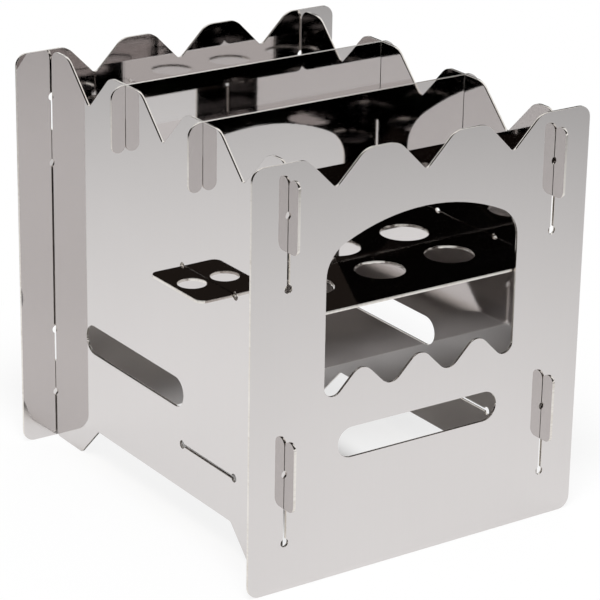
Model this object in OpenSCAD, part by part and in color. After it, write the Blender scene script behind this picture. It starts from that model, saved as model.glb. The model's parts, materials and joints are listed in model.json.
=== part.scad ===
// Flat-pack twig stove cut from stainless sheet.
// Two side walls hook into slots in the front and back panels, a perforated grate
// is trapped between the walls, and two pot supports drop into slits in their teeth.
// Every sheet stands on the ground or hangs on the one it is slotted into.
// Millimetres, +Z up, the front panel towards -Y. The origin is on the ground,
// midway between the walls and midway between the panels.

/* [Overall size] */
// How far the front and back panels reach out past the middle planes of the side walls
panel_flange = 14.35; // [13.5:0.05:30]
// Outside depth over the front and back panels
body_d = 153.5; // [150:0.5:200]
// Height from the ground to the tops of the teeth
stove_h = 150; // [145:1:190]
// Distance between the middle planes of the side walls
wall_span = 108.3; // [98:0.1:112]
// Thickness of the sheet that every piece is cut from
sheet_t = 1; // [0.8:0.1:1.5]

/* [Panel edge] */
// Radius of the outer corners of the panels
panel_corner_r = 4.5; // [1:0.5:8]
// Notches along the top of a panel, spread evenly between the walls
panel_notches = 3; // [2:1:4]
// Depth of a notch in a panel, measured to its sharp root
panel_notch_depth = 11.6; // [6:0.1:12]
// Rounding of the shoulders of the teeth
tooth_r = 7; // [2:0.5:8]
// Rounding at the root of a notch
notch_root_r = 1.8; // [0.5:0.1:2.5]

/* [Side walls] */
// Depth of a notch in a side wall, measured to its sharp root
wall_notch_depth = 14.7; // [8:0.1:16]
// Distance from notch to notch along a side wall, and between the pot supports
wall_notch_pitch = 49.7; // [40:0.1:52]
// Place of the middle notch, measured from mid depth towards the back
wall_notch_shift = -0.8; // [-4:0.1:4]
// Radius of the top corners of a side wall
wall_corner_r = 4; // [1:0.5:6]
// Height of the arch under a side wall
arch_h = 12.5; // [6:0.5:15]
// Length of the arch along the ground
arch_len = 114; // [90:1:124]
// Rounding of the arch's corners
arch_r = 2; // [0.5:0.5:4]

/* [Hooks] */
// Length of a hook slot between the centres of its relief holes
slot_len = 25; // [20:0.5:28]
// Height of the lower slots' middle, and depth of the upper slots' middle below the top
slot_inset = 30; // [29:0.5:40]
// Diameter of the relief hole at each end of a slot or slit
relief_d = 3; // [2.5:0.1:4]
// How far a hook stands out past the face of its panel
hook_reach = 5.5; // [4:0.1:8]

/* [Air slots] */
// Length of an air slot over its round ends
air_slot_len = 66.5; // [40:0.5:75]
// Height of an air slot
air_slot_h = 11; // [6:0.5:14]
// Height of the middle of the air slots above the ground
air_slot_z = 48; // [44:0.5:50]
// Place of the side walls' air slots, measured from mid depth towards the back
air_slot_shift = 19; // [0:0.5:20]

/* [Feed window] */
// Width of the feed window
window_w = 78.6; // [74:0.2:86]
// Height of the troughs of the wavy sill above the ground
sill_z = 66; // [62:0.5:72]
// Depth of the window's crown below the tops of the teeth
crown_depth = 23.8; // [22:0.2:36]
// Radius of the window's arched top
window_arch_r = 76; // [50:1:200]
// Radius of the fillets where the arch meets the window's sides
window_corner_r = 12.5; // [3:0.5:16]
// Crests along the sill, spread over the window's width
sill_crests = 3; // [3:1:4]
// Height of the crests above the troughs
sill_depth = 8; // [4:0.5:8]

/* [Grate] */
// Height of the middle of the grate above the ground
grate_z = 95.5; // [88:0.5:100]
// Height of the middle of the empty slits that take a second grate
spare_slit_z = 29.5; // [24:0.5:34]
// Width of the tongue that passes through each side wall
tongue_w = 32; // [24:0.5:40]
// Place of the tongues, measured from mid depth towards the back
tongue_shift = -30; // [-40:0.5:-22]
// How far inside the side edges of the panels a tongue ends
tongue_inset = 0.35; // [0:0.05:1]
// Diameter of the hole in each tongue
tongue_hole_d = 10; // [4:0.5:11]
// Rounding of the tongue's corners
tongue_r = 3; // [1:0.5:5]
// Diameter of the grate's holes
grate_hole_d = 17.5; // [8:0.5:20]
// Holes across the grate
grate_cols = 3; // [2:1:4]
// Holes along the grate
grate_rows = 5; // [3:1:6]
// Distance between the holes across the grate
grate_pitch_x = 29.4; // [22:0.1:32]
// Distance between the holes along the grate
grate_pitch_y = 26.2; // [22:0.1:28]

/* [Pot supports] */
// Height of a pot support
support_h = 24; // [18:0.1:30]
// How far a pot support stands out past the side wall
support_reach = 5.5; // [4:0.1:8]
// Rounding of a pot support's top corners
support_top_r = 5; // [1:0.5:5]

/* [Fits] */
// Side clearance between a sheet and the slot or slit it passes through
side_fit = 0.12; // [0.05:0.01:0.2]
// Gap left between edges that bear on each other
seat_gap = 0.05; // [0:0.01:0.1]
// Gap between the upright edges of a side wall and the faces of the panels
edge_gap = 0.7; // [0.2:0.1:1]
// Gap between a hook's finger and the panel that it holds
finger_gap = 0.2; // [0.1:0.05:0.5]
// Gap between the grate's shoulders and the side walls
shoulder_gap = 0.15; // [0.05:0.05:0.5]
// Play at the front and back of the grate, both ways
grate_play = 0.5; // [0.3:0.05:1]

/* [Hidden] */
steel = [0.77, 0.76, 0.75];
// Straight pieces in each rounded corner and in the window's arch
arc_steps = 8;
arch_steps = 16;
$fn = 48;

panel_w = wall_span + 2 * panel_flange;
// A slot or slit is this wide, with the sheet running free in it
slit_w = sheet_t + 2 * side_fit;
relief_r = relief_d / 2;
// The hooks' necks fill half a slot and bear in its relief hole, as deep as the
// hole's round wall lets a sheet go
neck_len = slot_len / 2 + sqrt(relief_r * relief_r - sheet_t * sheet_t / 4) - seat_gap;
// Middle heights of the lower and upper slots, the same on all four corners
slot_levels = [slot_inset, stove_h - slot_inset];
// Upright edges and hook faces of the side walls, measured from mid depth
wall_edge_y = body_d / 2 - sheet_t - edge_gap;
finger_in_y = body_d / 2 + finger_gap;
finger_out_y = body_d / 2 + hook_reach;
finger_r = (finger_out_y - finger_in_y) / 2 - 0.02;
// The supports stand in the two teeth between the three notches of a wall
support_ys = [for (side = [-1, 1]) wall_notch_shift + side * wall_notch_pitch / 2];
support_base_z = stove_h - support_h;
support_mid_z = stove_h - support_h / 2;
support_end_x = wall_span / 2 + sheet_t / 2 + support_reach;
support_finger_x = wall_span / 2 + slit_w / 2;
support_finger_r = (support_end_x - support_finger_x) / 2 - 0.02;
// The grate's shoulders stop just short of the walls, its ends of the panels
grate_half_x = wall_span / 2 - sheet_t / 2 - shoulder_gap;
grate_half_y = body_d / 2 - sheet_t - grate_play;
tongue_end_x = panel_w / 2 - tongue_inset;
// The hole in a tongue is midway between the tongue's end and the wall
tongue_hole_x = (tongue_end_x + wall_span / 2) / 2;
// Half the distance between the relief holes of a grate slit
slit_half = tongue_w / 2 + grate_play;

// Unit vector from one point towards another
function unit(a, b) = (b - a) / norm(b - a);

// Swing from one angle to another by the short way round
function swing(a, b) = (b - a + 540) % 360 - 180;

// Arc that rounds the corner at q between its neighbours p and s,
// with a radius that leaves room for the next corner
function corner(p, q, s, r) =
    let (u = unit(q, p))
    let (v = unit(q, s))
    let (half = acos(max(-1, min(1, u * v))) / 2)
    let (room = 0.49 * min(norm(p - q), norm(s - q)))
    let (rr = min(r, room * tan(half)))
    let (c = q + unit([0, 0], u + v) * rr / sin(half))
    let (from = q + u * rr / tan(half) - c)
    let (to = q + v * rr / tan(half) - c)
    let (a = atan2(from[1], from[0]))
    let (turn = swing(a, atan2(to[1], to[0])))
    [for (k = [0 : arc_steps]) c + rr * [cos(a + turn * k / arc_steps), sin(a + turn * k / arc_steps)]];

// Points along an arc round c from angle a up to, but not at, angle b
function arc(c, r, a, b, steps) =
    [for (k = [0 : steps - 1])
        let (angle = a + (b - a) * k / steps)
        [c[0] + r * cos(angle), c[1] + r * sin(angle), 0]];

function flat(p) = [p[0], p[1]];

// Closed outline through points [x, y, radius], each corner rounded by its radius
function rounded(pts) =
    let (n = len(pts))
    [for (i = [0 : n - 1])
        each pts[i][2] == 0
            ? [flat(pts[i])]
            : corner(flat(pts[(i + n - 1) % n]), flat(pts[i]), flat(pts[(i + 1) % n]), pts[i][2])];

// Points of a square-flanked notch centred at u, cut down from the stove's top
function notch(u, depth) = [
    [u + depth, stove_h, tooth_r],
    [u, stove_h - depth, notch_root_r],
    [u - depth, stove_h, tooth_r]
];

// Hook on the back edge of a wall, followed upwards: its finger hangs behind the panel
function back_hook(level) = [
    [wall_edge_y, level - neck_len, 0.3],
    [finger_in_y, level - neck_len, 0.3],
    [finger_in_y, level - slot_len, finger_r],
    [finger_out_y, level - slot_len, finger_r],
    [finger_out_y, level, finger_r],
    [wall_edge_y, level, 0.3]
];

// Hook on the front edge of a wall, followed downwards: its finger stands up
// in front of the panel
function front_hook(level) = [
    [-wall_edge_y, level + neck_len, 0.3],
    [-finger_in_y, level + neck_len, 0.3],
    [-finger_in_y, level + slot_len, finger_r],
    [-finger_out_y, level + slot_len, finger_r],
    [-finger_out_y, level, finger_r],
    [-wall_edge_y, level, 0.3]
];

panel_outline = concat(
    [
        [-panel_w / 2, 0, panel_corner_r],
        [panel_w / 2, 0, panel_corner_r],
        [panel_w / 2, stove_h, panel_corner_r]
    ],
    [for (i = [0 : panel_notches - 1])
        each notch(((panel_notches - 1) / 2 - i) * wall_span / panel_notches, panel_notch_depth)],
    [[-panel_w / 2, stove_h, panel_corner_r]]
);

wall_outline = concat(
    [
        [-wall_edge_y, 0, arch_r],
        [-arch_len / 2, 0, arch_r],
        [-arch_len / 2 + arch_h, arch_h, arch_r],
        [arch_len / 2 - arch_h, arch_h, arch_r],
        [arch_len / 2, 0, arch_r],
        [wall_edge_y, 0, arch_r]
    ],
    back_hook(slot_levels[0]),
    back_hook(slot_levels[1]),
    [[wall_edge_y, stove_h, wall_corner_r]],
    [for (i = [1 : -1 : -1]) each notch(wall_notch_shift + i * wall_notch_pitch, wall_notch_depth)],
    [[-wall_edge_y, stove_h, wall_corner_r]],
    front_hook(slot_levels[1]),
    front_hook(slot_levels[0])
);

// The sill's flanks run at 45 degrees and its outer troughs end at the window's sides,
// a little over half a pitch from the last crests
sill_end_share = 0.6375;
sill_pitch = window_w / (sill_crests - 1 + 2 * sill_end_share);
// Radius that brings the sharp zigzag down to sill_depth, and the zigzag's lowest height
sill_r = (sill_pitch / 2 - sill_depth) / (2 * (sqrt(2) - 1));
sill_low = sill_z - sill_r * (sqrt(2) - 1);
// The outer flanks meet the window's sides here, and this radius lifts them to sill_z
sill_corner_z = sill_low + sill_pitch * (1 / 2 - sill_end_share);
sill_corner_r = (sill_z - sill_corner_z) / sqrt(2);

// The window's arch is round this height, its fillets touch it and the sides from inside
arch_z = stove_h - crown_depth - window_arch_r;
fillet_x = window_w / 2 - window_corner_r;
fillet_rise = sqrt(pow(window_arch_r - window_corner_r, 2) - pow(fillet_x, 2));
fillet_swing = atan2(fillet_rise, fillet_x);

// Outline of the feed window: wavy sill, straight sides, shallow arch
window_outline = concat(
    [[-window_w / 2, sill_corner_z, sill_corner_r]],
    [for (i = [1 : 2 * sill_crests - 1])
        [(i - sill_crests) * sill_pitch / 2, sill_low + (i % 2) * sill_pitch / 2, sill_r]],
    [[window_w / 2, sill_corner_z, sill_corner_r]],
    arc([fillet_x, arch_z + fillet_rise], window_corner_r, 0, fillet_swing, arc_steps),
    arc([0, arch_z], window_arch_r, fillet_swing, 180 - fillet_swing, arch_steps),
    arc([-fillet_x, arch_z + fillet_rise], window_corner_r, 180 - fillet_swing, 180, arc_steps),
    [[-window_w / 2, arch_z + fillet_rise, 0]]
);

// Half of a pot support from the middle of its base to the middle of its top
support_half_outline = [
    [support_finger_x - slit_w, support_base_z, support_finger_r],
    [support_finger_x - slit_w, support_mid_z + seat_gap / 2, 0],
    [support_finger_x, support_mid_z + seat_gap / 2, 0],
    [support_finger_x, support_base_z, support_finger_r],
    [support_end_x, support_base_z, support_finger_r],
    [support_end_x, stove_h, support_top_r]
];
support_outline = concat(
    support_half_outline,
    [for (i = [len(support_half_outline) - 1 : -1 : 0])
        [-support_half_outline[i][0], support_half_outline[i][1], support_half_outline[i][2]]]
);

// Half of the grate, from its front edge round the tongue to its back edge
grate_half_outline = [
    [grate_half_x, -grate_half_y, 2],
    [grate_half_x, tongue_shift - tongue_w / 2, 0.5],
    [tongue_end_x, tongue_shift - tongue_w / 2, tongue_r],
    [tongue_end_x, tongue_shift + tongue_w / 2, tongue_r],
    [grate_half_x, tongue_shift + tongue_w / 2, 0.5],
    [grate_half_x, grate_half_y, 2]
];
grate_outline = concat(
    grate_half_outline,
    [for (i = [len(grate_half_outline) - 1 : -1 : 0])
        [-grate_half_outline[i][0], grate_half_outline[i][1], grate_half_outline[i][2]]]
);

// Sheet standing across the stove, its middle plane at y
module cross_sheet(y) {
    color(steel)
    translate([0, y + sheet_t / 2, 0])
    rotate([90, 0, 0])
    linear_extrude(sheet_t)
    children();
}

// Sheet standing along the stove, its middle plane at x
module long_sheet(x) {
    color(steel)
    translate([x - sheet_t / 2, 0, 0])
    rotate([90, 0, 90])
    linear_extrude(sheet_t)
    children();
}

// Straight slit centred on the origin, lying along the first axis,
// with a relief hole at each end
module relieved_slit(half) {
    square([2 * half, slit_w], center = true);
    for (side = [-1, 1])
        translate([side * half, 0])
        circle(d = relief_d);
}

// Air slot with round ends, lying along the first axis
module air_slot() {
    square([air_slot_len - air_slot_h, air_slot_h], center = true);
    for (side = [-1, 1])
        translate([side * (air_slot_len - air_slot_h) / 2, 0])
        circle(d = air_slot_h);
}

// What the front and back panels share: teeth, hook slots and air slot
module panel_shape() {
    difference() {
        polygon(rounded(panel_outline));
        for (side = [-1, 1], level = slot_levels)
            translate([side * wall_span / 2, level])
            rotate(90)
            relieved_slit(slot_len / 2);
        translate([0, air_slot_z])
        air_slot();
    }
}

module wall_shape() {
    difference() {
        polygon(rounded(wall_outline));
        for (y = support_ys)
            translate([y - slit_w / 2, support_mid_z - seat_gap / 2])
            square([slit_w, support_h]);
        for (level = [grate_z, spare_slit_z])
            translate([tongue_shift, level])
            relieved_slit(slit_half);
        translate([air_slot_shift, air_slot_z])
        air_slot();
    }
}

module back_panel() {
    cross_sheet(body_d / 2 - sheet_t / 2)
    panel_shape();
}

module front_panel() {
    cross_sheet(sheet_t / 2 - body_d / 2)
    difference() {
        panel_shape();
        polygon(rounded(window_outline));
    }
}

module left_wall() {
    long_sheet(-wall_span / 2)
    wall_shape();
}

module right_wall() {
    long_sheet(wall_span / 2)
    wall_shape();
}

module grate() {
    color(steel)
    translate([0, 0, grate_z - sheet_t / 2])
    linear_extrude(sheet_t)
    difference() {
        polygon(rounded(grate_outline));
        for (col = [0 : grate_cols - 1], row = [0 : grate_rows - 1])
            translate([(col - (grate_cols - 1) / 2) * grate_pitch_x, (row - (grate_rows - 1) / 2) * grate_pitch_y])
            circle(d = grate_hole_d);
        for (side = [-1, 1])
            translate([side * tongue_hole_x, tongue_shift])
            circle(d = tongue_hole_d);
    }
}

module pot_support(y) {
    cross_sheet(y)
    polygon(rounded(support_outline));
}

module rear_support() {
    pot_support(support_ys[1]);
}

module front_support() {
    pot_support(support_ys[0]);
}

back_panel();
front_panel();
left_wall();
right_wall();
grate();
rear_support();
front_support();
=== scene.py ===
# Looks for a flat-pack twig stove of bright stainless sheet.
# Seven sheets: front and back panels, two side walls, a grate and two pot supports.
import json
import math

import bpy
import numpy as np
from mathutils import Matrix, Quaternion, Vector


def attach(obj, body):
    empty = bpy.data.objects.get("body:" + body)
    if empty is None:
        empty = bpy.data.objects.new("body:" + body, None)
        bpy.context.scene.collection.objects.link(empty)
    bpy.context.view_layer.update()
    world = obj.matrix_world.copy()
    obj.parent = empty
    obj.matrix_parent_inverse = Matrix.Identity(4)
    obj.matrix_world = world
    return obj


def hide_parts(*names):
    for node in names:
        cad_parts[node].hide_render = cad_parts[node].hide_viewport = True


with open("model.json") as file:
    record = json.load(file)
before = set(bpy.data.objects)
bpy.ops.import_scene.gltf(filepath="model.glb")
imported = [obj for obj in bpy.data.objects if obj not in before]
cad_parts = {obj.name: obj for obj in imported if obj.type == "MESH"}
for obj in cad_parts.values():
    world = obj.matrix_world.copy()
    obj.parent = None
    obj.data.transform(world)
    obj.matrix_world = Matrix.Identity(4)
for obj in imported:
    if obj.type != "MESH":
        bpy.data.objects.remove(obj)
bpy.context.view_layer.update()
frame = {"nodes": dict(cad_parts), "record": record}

print("frame loaded:", ", ".join(sorted(frame["nodes"])))


# one output socket: arithmetic with it adds a Math node
class Socket:
    def __init__(self, tree, out):
        self.tree = tree
        self.out = out

    def joined(self, operation, first, second):
        maths = self.tree.nodes.new("ShaderNodeMath")
        maths.operation = operation
        for slot, value in zip(maths.inputs, (first, second)):
            if isinstance(value, Socket):
                self.tree.links.new(value.out, slot)
            else:
                slot.default_value = value
        return Socket(self.tree, maths.outputs[0])

    def __add__(self, other):
        return self.joined("ADD", self, other)

    def __radd__(self, other):
        return self.joined("ADD", other, self)

    def __rsub__(self, other):
        return self.joined("SUBTRACT", other, self)

    def __mul__(self, other):
        return self.joined("MULTIPLY", self, other)

    def __rmul__(self, other):
        return self.joined("MULTIPLY", other, self)


# the node tree of a material or world, cleared and ready for new nodes
class Shader:
    def __init__(self, owner):
        owner.use_nodes = True
        self.tree = owner.node_tree
        self.tree.nodes.clear()

    def node(self, kind, settings=None, sockets=None, out=0):
        # settings are set before the sockets, because some of them change which sockets there are
        made = self.tree.nodes.new("ShaderNode" + kind)
        for name, value in (settings or {}).items():
            setattr(made, name, value)
        for name, value in (sockets or {}).items():
            if isinstance(value, Socket):
                self.tree.links.new(value.out, made.inputs[name])
            else:
                made.inputs[name].default_value = value
        return Socket(self.tree, made.outputs[out]) if made.outputs else None

    def noise(self, where, scale, detail, rough):
        return self.node("TexNoise", {}, {
            "Vector": where, "Scale": scale, "Detail": detail, "Roughness": rough})

    def blackToWhite(self, value, start, end):
        # a colour ramp: black up to start, white from end on
        ramp = self.tree.nodes.new("ShaderNodeValToRGB")
        for element, place, grey in zip(ramp.color_ramp.elements, (start, end), (0.0, 1.0)):
            element.position = place
            element.color = (grey, grey, grey, 1)
        self.tree.links.new(value.out, ramp.inputs["Fac"])
        return Socket(self.tree, ramp.outputs[0])

    def mixColours(self, factor, first, second):
        mix = self.tree.nodes.new("ShaderNodeMix")
        mix.data_type = "RGBA"
        self.tree.links.new(factor.out, mix.inputs[0])
        for slot, value in ((mix.inputs[6], first), (mix.inputs[7], second)):
            if isinstance(value, Socket):
                self.tree.links.new(value.out, slot)
            else:
                slot.default_value = (*value, 1)
        return Socket(self.tree, mix.outputs[2])


view = {
    "place": (-0.51358, -0.74874, 0.41639),    # metres
    "forward": (0.53047, 0.76826, -0.35831),
    "roll": 1.016,                             # degrees
    "lens": 163.27,                            # millimetres
    "sensor": 36,
}


def makeCamera():
    data = bpy.data.cameras.new("camera")
    data.lens = view["lens"]
    data.sensor_width = view["sensor"]
    camera = bpy.data.objects.new("camera", data)
    bpy.context.scene.collection.objects.link(camera)
    aim = Vector(view["forward"]).to_track_quat("-Z", "Y")
    camera.rotation_mode = "QUATERNION"
    camera.rotation_quaternion = aim @ Quaternion((0, 0, 1), math.radians(view["roll"]))
    camera.location = view["place"]
    bpy.context.scene.camera = camera


makeCamera()
print("camera placed")


# Angles are in degrees, and headings go from +Y towards +X. A soft value is half the width of a
# card's faded edge, measured on the unit vector of the direction looked in.
light = {
    "lampPlace": (-0.34, -0.40, 0.95),
    "lampAim": (0, 0, 0.05),
    "lampSize": 0.5,
    "lampPower": 11.4,
    "card": (1.0, 1.0, 1.0),              # colour of the white cards, as the steel sees them
    "backdropLevel": 1.0,                 # a card behind the stove
    "backdropHeading": 12.0,
    "backdropHalf": 25.0,
    "backdropTop": 19.0,
    "backdropSoft": 0.01,
    "softboxLevel": 1.0,                  # a wide card above it, behind on the right
    "softboxHeading": 55.0,
    "softboxHalf": 73.0,
    "softboxBase": 23.5,
    "softboxTop": 62.0,
    "softboxSideSoft": 0.05,
    "softboxBaseSoft": 0.01,
    "softboxTopSoft": 0.03,
    "bandLevel": 1.0,                     # a low band in front
    "bandTop": 17.8,
    "bandTopSoft": 0.004,
    "bandSideSoft": 0.1,
    "room": (0.0025, 0.0022, 0.002),      # the dark room on the left
    "roomWarm": (0.022, 0.0175, 0.0145),  # and on the right
    "roomTurn": (-0.05, 0.01),            # where the one turns into the other, on softboxHeading
}
# Lengths are in metres. A pair is where a gradual change starts and ends: along frontLeft in
# liftTurn and dipEdge, and outwards from the footprint in the others.
floorLook = {
    "radius": 3.0,
    "corners": 96,
    "level": -0.0002,
    "colour": (0.93, 0.93, 0.93),
    "shade": (0.72, 0.69, 0.66),    # painted shadow: the floor's colour in the deepest shadow below the stove
    "shadeReach": 0.04,             # how far in from the panels that shadow is full
    "shadeSides": (-0.004, 0.01),   # and where it ends below the walls
    "rimGlow": 0.18,                # share of the glow that reaches in below the panels
    "rimReach": 0.03,
    "halfX": 0.055,                 # the stove's footprint
    "halfY": 0.077,
    "footEdge": (-0.002, 0.004),
    "frontLeft": (-0.7, -0.7, 0),   # a level direction
    "liftFront": 0.88,              # share of plain white that the camera sees in front and on the left
    "liftBack": 0.7,                # and behind and on the right, where the shadow falls
    "liftTurn": (-0.06, -0.01),     # where the one turns into the other
    "liftWhole": 0.13,              # distance from the stove at which all is white
    "liftUnder": 0.03,              # how far the lift reaches in under the walls' arches
    "liftSoft": 0.012,
    "glow": 0.6,                    # share of the glow below that the steel sees
    "glowPeak": 1.02,
    "glowReach": 0.67,              # distance at which the glow has fallen to 1/e
    "glowCentre": (-0.08, 0.0, 0.0),
    "glowFar": 0.2,
    "glowDip": 0.2,                 # part lost in front on the left
    "dipEdge": (0.05, 0.2),
}


def makeLamp():
    data = bpy.data.lights.new("overhead", "AREA")
    data.shape = "SQUARE"
    data.size = light["lampSize"]
    data.energy = light["lampPower"]
    lamp = bpy.data.objects.new("overhead", data)
    bpy.context.scene.collection.objects.link(lamp)
    lamp.location = light["lampPlace"]
    aim = Vector(light["lampAim"]) - Vector(light["lampPlace"])
    lamp.rotation_mode = "QUATERNION"
    lamp.rotation_quaternion = aim.to_track_quat("-Z", "Y")
    # it lights the floor alone: the steel mirrors the white cards of the world
    lamp.visible_glossy = False


def sine(degrees):
    return math.sin(math.radians(degrees))


def cosine(degrees):
    return math.cos(math.radians(degrees))


def smoothly(s, value, start, end):
    # 0 at the start and 1 at the end, with an S between them
    return s.node("MapRange", {"interpolation_type": "SMOOTHSTEP"}, {
        "Value": value, "From Min": start, "From Max": end})


def rising(s, value, middle, soft):
    return smoothly(s, value, middle - soft, middle + soft)


def falling(s, value, middle, soft):
    return smoothly(s, value, middle + soft, middle - soft)


def larger(s, first, second):
    return s.node("Math", {"operation": "MAXIMUM"}, {0: first, 1: second})


def dot(s, where, direction):
    return s.node("VectorMath", {"operation": "DOT_PRODUCT"}, {0: where, 1: direction}, "Value")


def alongHeading(s, where, degrees):
    return dot(s, where, (sine(degrees), cosine(degrees), 0))


def makeWorld():
    world = bpy.data.worlds.new("studio")
    bpy.context.scene.world = world
    s = Shader(world)
    where = s.node("TexCoord")
    climb = dot(s, where, (0, 0, 1))
    towards = alongHeading(s, where, light["backdropHeading"])
    backdrop = rising(s, towards, cosine(light["backdropHalf"]), light["backdropSoft"])
    backdrop = backdrop * falling(s, climb, sine(light["backdropTop"]), light["backdropSoft"])
    across = alongHeading(s, where, light["softboxHeading"])
    softbox = rising(s, across, cosine(light["softboxHalf"]), light["softboxSideSoft"])
    softbox = softbox * rising(s, climb, sine(light["softboxBase"]), light["softboxBaseSoft"])
    softbox = softbox * falling(s, climb, sine(light["softboxTop"]), light["softboxTopSoft"])
    band = falling(s, climb, sine(light["bandTop"]), light["bandTopSoft"])
    band = band * falling(s, dot(s, where, (0, 1, 0)), 0, light["bandSideSoft"])
    cards = backdrop * light["backdropLevel"] + softbox * light["softboxLevel"]
    cards = cards + band * light["bandLevel"]
    room = s.mixColours(smoothly(s, across, *light["roomTurn"]), light["room"], light["roomWarm"])
    seen = s.mixColours(cards, room, light["card"])
    dim = s.node("Background", {}, {"Color": seen, "Strength": 1.0})
    white = s.node("Background", {}, {"Color": (1, 1, 1, 1), "Strength": 1.0})
    camera = s.node("LightPath", out="Is Camera Ray")
    both = s.node("MixShader", {}, {0: camera, 1: dim, 2: white})
    s.node("OutputWorld", {}, {"Surface": both})


def makeFloorMaterial():
    material = bpy.data.materials.new("paleFloor")
    s = Shader(material)
    where = s.node("TexCoord", out="Object")
    facing = dot(s, where, floorLook["frontLeft"])
    # distance outwards from the footprint's long and short sides, and from the nearer of the two
    reach = s.node("VectorMath", {"operation": "ABSOLUTE"}, {0: where})
    beyond = s.node("VectorMath", {"operation": "SUBTRACT"}, {
        0: reach, 1: (floorLook["halfX"], floorLook["halfY"], 0)})
    beside = dot(s, beyond, (1, 0, 0))
    ahead = dot(s, beyond, (0, 1, 0))
    away = larger(s, beside, ahead)
    outside = smoothly(s, away, *floorLook["footEdge"])
    # what the camera sees is lifted towards plain white
    nearSide = smoothly(s, facing, *floorLook["liftTurn"])
    least = floorLook["liftBack"] + (floorLook["liftFront"] - floorLook["liftBack"]) * nearSide
    lift = least + (1 - least) * smoothly(s, away, 0, floorLook["liftWhole"])
    lift = lift * rising(s, away, -floorLook["liftUnder"], floorLook["liftSoft"])
    # what the steel sees is a glow that falls off as exp(-(r / reach)^2) to a faint rest
    radius = s.node("VectorMath", {"operation": "DISTANCE"}, {
        0: where, 1: floorLook["glowCentre"]}, "Value")
    scaled = radius * (1 / floorLook["glowReach"])
    dip = 1 - floorLook["glowDip"] * smoothly(s, facing, *floorLook["dipEdge"])
    fallen = s.node("Math", {"operation": "EXPONENT"}, {0: scaled * scaled * -1.0})
    glow = larger(s, fallen * dip * floorLook["glowPeak"], floorLook["glowFar"])
    rim = smoothly(s, ahead, -floorLook["rimReach"], 0) * floorLook["rimGlow"]
    # the rest is a plain floor whose colour is darker below the stove, a painted shadow
    clear = larger(
        s, smoothly(s, ahead, -floorLook["shadeReach"], 0),
        smoothly(s, beside, *floorLook["shadeSides"]))
    tone = s.mixColours(clear, floorLook["shade"], floorLook["colour"])
    plain = s.node("BsdfDiffuse", {}, {"Color": tone, "Roughness": 0.0})
    camera = s.node("LightPath", out="Is Camera Ray")
    glossy = s.node("LightPath", out="Is Glossy Ray")
    shine = s.mixColours(camera, glow, (1.0, 1.0, 1.0))
    lit = s.node("Emission", {}, {"Color": shine, "Strength": 1.0})
    share = camera * lift + glossy * (outside * floorLook["glow"] + (1 - outside) * rim)
    both = s.node("MixShader", {}, {0: share, 1: plain, 2: lit})
    s.node("OutputMaterial", {}, {"Surface": both})
    return material


def makeFloor():
    # a disc: points at equal steps of angle on one circle, closed by a fan about the middle
    count = floorLook["corners"]
    angle = np.linspace(0, 2 * np.pi, count, endpoint=False)
    rim = np.stack([np.cos(angle), np.sin(angle), 0 * angle], axis=1) * floorLook["radius"]
    points = np.vstack([rim, [[0, 0, 0]]])
    points[:, 2] = floorLook["level"]
    step = np.arange(count)
    faces = np.stack([step, (step + 1) % count, np.full(count, count)], axis=1)
    mesh = bpy.data.meshes.new("floor")
    mesh.from_pydata(points, [], faces)
    floor = bpy.data.objects.new("floor", mesh)
    bpy.context.scene.collection.objects.link(floor)
    mesh.materials.append(makeFloorMaterial())


makeLamp()
makeWorld()
makeFloor()
print("light and floor made")


# A noise has a scale a metre, a detail and a roughness. Depths are in metres.
steel = {
    "colour": (0.697, 0.671, 0.664),
    "shade": (0.667, 0.642, 0.635),
    "smooth": 0.012,
    "rough": 0.03,
    "grain": (1600, 3.0, 0.6),      # lines along the rolling direction
    "grainStretch": 0.012,
    "grainBump": 0.008,
    "grainDepth": 0.0002,
    "grainTone": 0.4,
    "grainRough": 0.012,
    "cloud": (26, 4.0, 0.55),
    "cloudTone": 0.6,
    "smudge": (75, 5.0, 0.6),
    "smudgeRange": (0.48, 0.72),
    "smudgeRough": 0.012,
    "wave": (9, 1.0, 0.4),
    "waveBump": 0.03,
    "waveDepth": 0.002,
}
cutEdge = {
    "colour": (0.8, 0.77, 0.73),
    "burnt": (0.56, 0.51, 0.46),
    "smooth": 0.05,
    "rough": 0.12,
    "lines": (3200, 2.0, 0.6),      # striations through the sheet's thickness
    "lineStretch": 0.06,
    "lineTone": 0.5,
    "patches": (60, 3.0, 0.5),
    "patchTone": 0.5,
    "burntRange": (0.45, 0.7),
    "bump": 0.08,
    "bumpDepth": 0.0002,
}


def stretched(s, where, axis, along):
    # squeezes the coordinates so that a noise is drawn out along one axis
    scale = [1.0] * 3
    scale[axis] = along
    return s.node("VectorMath", {"operation": "MULTIPLY"}, {0: where, 1: tuple(scale)})


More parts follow.
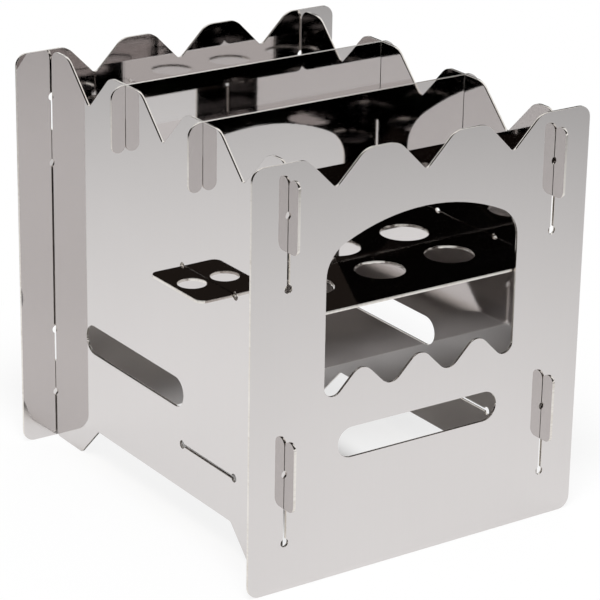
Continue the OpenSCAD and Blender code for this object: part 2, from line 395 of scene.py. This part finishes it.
def makeSteel(name, axis, roll, seed, lean):
    material = bpy.data.materials.new(name)
    s = Shader(material)
    raw = s.node("TexCoord", out="Object")
    # a sheet never stands quite true: its reflections are tilted as if it leaned by these slopes
    through = [0.0] * 3
    through[axis] = 1.0
    side = dot(s, s.node("TexCoord", out="Normal"), tuple(through))
    tilt = s.node("Bump", {}, {
        "Strength": 1.0, "Distance": 1.0, "Height": side * dot(s, raw, lean)})
    where = s.node("VectorMath", {"operation": "ADD"}, {0: raw, 1: (seed, seed * 0.7, seed * 0.3)})
    grain = s.noise(stretched(s, where, roll, steel["grainStretch"]), *steel["grain"])
    cloud = s.noise(where, *steel["cloud"])
    smudge = s.blackToWhite(s.noise(where, *steel["smudge"]), *steel["smudgeRange"])
    wave = s.noise(where, *steel["wave"])
    rough = steel["smooth"] + (steel["rough"] - steel["smooth"]) * cloud
    rough = rough + steel["grainRough"] * grain + steel["smudgeRough"] * smudge
    tone = cloud * steel["cloudTone"] + grain * steel["grainTone"]
    colour = s.mixColours(tone, steel["colour"], steel["shade"])
    waveBump = s.node("Bump", {}, {
        "Strength": steel["waveBump"], "Distance": steel["waveDepth"],
        "Height": wave, "Normal": tilt})
    bump = s.node("Bump", {}, {
        "Strength": steel["grainBump"], "Distance": steel["grainDepth"],
        "Height": grain, "Normal": waveBump})
    shader = s.node("BsdfPrincipled", {}, {
        "Base Color": colour, "Metallic": 1.0, "Roughness": rough, "Normal": bump})
    s.node("OutputMaterial", {}, {"Surface": shader})
    return material


def makeCutEdge(name, axis, seed):
    material = bpy.data.materials.new(name)
    s = Shader(material)
    raw = s.node("TexCoord", out="Object")
    where = s.node("VectorMath", {"operation": "ADD"}, {0: raw, 1: (seed, seed * 0.6, seed * 0.4)})
    lines = s.noise(stretched(s, where, axis, cutEdge["lineStretch"]), *cutEdge["lines"])
    patches = s.noise(where, *cutEdge["patches"])
    worn = patches * cutEdge["patchTone"] + lines * cutEdge["lineTone"]
    burnt = s.blackToWhite(worn, *cutEdge["burntRange"])
    colour = s.mixColours(burnt, cutEdge["colour"], cutEdge["burnt"])
    rough = cutEdge["smooth"] + (cutEdge["rough"] - cutEdge["smooth"]) * lines
    bump = s.node("Bump", {}, {
        "Strength": cutEdge["bump"], "Distance": cutEdge["bumpDepth"], "Height": lines})
    shader = s.node("BsdfPrincipled", {}, {
        "Base Color": colour, "Metallic": 1.0, "Roughness": rough, "Normal": bump})
    s.node("OutputMaterial", {}, {"Surface": shader})
    return material


# thickness axis, rolling axis, seed of the noises, and slopes of the lean along x, y and z,
# which were fitted to the reflections in the photograph
sheets = {
    "back_panel": (1, 2, 1.3, (0.009, 0.0, 0.018)),
    "front_panel": (1, 2, 2.1, (0.0, 0.0, 0.0)),
    "left_wall": (0, 2, 3.7, (0.0, 0.0, -0.004)),
    "right_wall": (0, 2, 4.9, (0.0, 0.0, 0.0)),
    "grate": (2, 1, 5.3, (-0.001, 0.013, 0.0)),
    "rear_support": (1, 0, 6.1, (0.0063, 0.0, -0.0087)),
    "front_support": (1, 0, 7.7, (0.006, 0.0, -0.003)),
}
rounding = {
    "radius": 0.00006,   # metres
    "steps": 2,
    "sharpAngle": 38,    # degrees
    "weld": 1e7,         # CAD points in one cell of 1 / weld metres are one point
    "leastSize": 1e-14,  # twice the area in square metres below which a triangle is none
    "facing": 0.9,       # least part of a face's normal along the thickness axis
}


def upperFace(mesh, axis):
    # the welded points of a CAD sheet, and the triangles that look along its thickness axis
    points = np.empty(len(mesh.vertices) * 3)
    mesh.vertices.foreach_get("co", points)
    mesh.calc_loop_triangles()
    corners = np.empty(len(mesh.loop_triangles) * 3, dtype=np.int64)
    mesh.loop_triangles.foreach_get("vertices", corners)
    cells = np.round(points.reshape(-1, 3) * rounding["weld"]).astype(np.int64)
    cells, merged = np.unique(cells, axis=0, return_inverse=True)
    points = cells / rounding["weld"]
    faces = merged.reshape(-1)[corners].reshape(-1, 3)
    first = points[faces[:, 1]] - points[faces[:, 0]]
    second = points[faces[:, 2]] - points[faces[:, 0]]
    normals = np.cross(first, second)
    size = np.linalg.norm(normals, axis=1)
    whole = size > rounding["leastSize"]
    normals = normals[whole] / size[whole, None]
    return points, faces[whole][normals[:, axis] > rounding["facing"]]


def outlineOf(cap, count):
    # The outline is the directed edges that have no twin. Returned are its points, the place of
    # every point in it, and the places of the neighbours ahead and behind.
    edges = np.vstack([cap[:, [0, 1]], cap[:, [1, 2]], cap[:, [2, 0]]])
    forward = edges[:, 0] * count + edges[:, 1]
    backward = edges[:, 1] * count + edges[:, 0]
    edges = edges[~np.isin(forward, backward)]
    rim = np.unique(edges)
    if len(np.setdiff1d(cap, rim)) or len(rim) != len(edges):
        raise RuntimeError("a sheet's face has loose points")
    place = np.full(count, -1)
    place[rim] = np.arange(len(rim))
    following = np.full(count, -1)
    following[edges[:, 0]] = edges[:, 1]
    before = np.full(count, -1)
    before[edges[:, 1]] = edges[:, 0]
    return rim, place, place[following[rim]], place[before[rim]]


def meshFrom(name, points, triangles, quads):
    mesh = bpy.data.meshes.new(name)
    corners = np.concatenate([triangles.ravel(), quads.ravel()])
    starts = np.concatenate([
        np.arange(len(triangles)) * 3,
        len(triangles) * 3 + np.arange(len(quads)) * 4])
    mesh.vertices.add(len(points))
    mesh.vertices.foreach_set("co", points.reshape(-1).astype(np.float32))
    mesh.loops.add(len(corners))
    mesh.loops.foreach_set("vertex_index", corners.astype(np.int32))
    mesh.polygons.add(len(starts))
    mesh.polygons.foreach_set("loop_start", starts.astype(np.int32))
    mesh.update(calc_edges=True)
    if mesh.validate():
        print(name, "was mended by validate")
    return mesh


def roundedSheet(name, node, axis):
    # A flat sheet whose cut edges are rounded over. The outline is that of the CAD sheet's face.
    # Each of its points moves inwards by the miter (n1 + n2) / (1 + n1.n2) of its two edges'
    # outward normals, times the inset radius * (1 - sin(a)), and down by radius * (1 - cos(a)),
    # as a goes from 0 to a right angle. The underside is the same, upside down.
    points, cap = upperFace(node.data, axis)
    rim, place, ahead, behind = outlineOf(cap, len(points))
    top = points[:, axis].max()
    bottom = points[:, axis].min()
    flatAxes = [(axis + 1) % 3, (axis + 2) % 3]
    flat = points[rim][:, flatAxes]
    run = flat[ahead] - flat
    run /= np.linalg.norm(run, axis=1)[:, None]
    outNext = np.stack([run[:, 1], -run[:, 0]], axis=1)
    outLast = outNext[behind]
    miter = (outNext + outLast) / (1 + np.sum(outNext * outLast, axis=1))[:, None]
    turn = np.linspace(0, np.pi / 2, rounding["steps"] + 1)
    inset = rounding["radius"] * (1 - np.sin(turn))
    drop = rounding["radius"] * (1 - np.cos(turn))
    inset = np.concatenate([inset, inset[::-1]])
    level = np.concatenate([top - drop, (bottom + drop)[::-1]])
    rows = len(inset)
    total = len(rim)
    grid = np.empty((rows, total, 3))
    grid[:, :, flatAxes] = flat[None] - inset[:, None, None] * miter[None]
    grid[:, :, axis] = level[:, None]
    row = np.arange(rows - 1)[:, None] * total
    here = np.arange(total)[None]
    below = row + total
    quads = np.stack([row + here, below + here, below + ahead[None], row + ahead[None]], axis=2)
    quads = quads.reshape(-1, 4)
    capTop = place[cap]
    capBottom = capTop[:, ::-1] + (rows - 1) * total
    triangles = np.vstack([capTop, capBottom])
    mesh = meshFrom(name, grid.reshape(-1, 3), triangles, quads)
    mesh.set_sharp_from_angle(angle=math.radians(rounding["sharpAngle"]))
    # the two faces stay flat, and the rounded edges are smooth and have the second material
    isEdge = np.arange(len(mesh.polygons)) >= len(triangles)
    mesh.polygons.foreach_set("use_smooth", isEdge)
    mesh.polygons.foreach_set("material_index", isEdge.astype(np.int32))
    made = bpy.data.objects.new(name, mesh)
    bpy.context.scene.collection.objects.link(made)
    return made


def makeSheets():
    members = frame["record"]["behaviour"]["bodies"].items()
    bodies = {node: body for body, nodes in members for node in nodes}
    for nodeName, (axis, roll, seed, lean) in sheets.items():
        made = roundedSheet(nodeName + "_sheet", frame["nodes"][nodeName], axis)
        made.data.materials.append(makeSteel(nodeName + "Steel", axis, roll, seed, lean))
        made.data.materials.append(makeCutEdge(nodeName + "Edge", axis, seed))
        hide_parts(nodeName)
        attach(made, bodies[nodeName])
        print("sheet made:", nodeName, len(made.data.polygons), "faces")


makeSheets()

bpy.context.scene.view_settings.view_transform = "Standard"
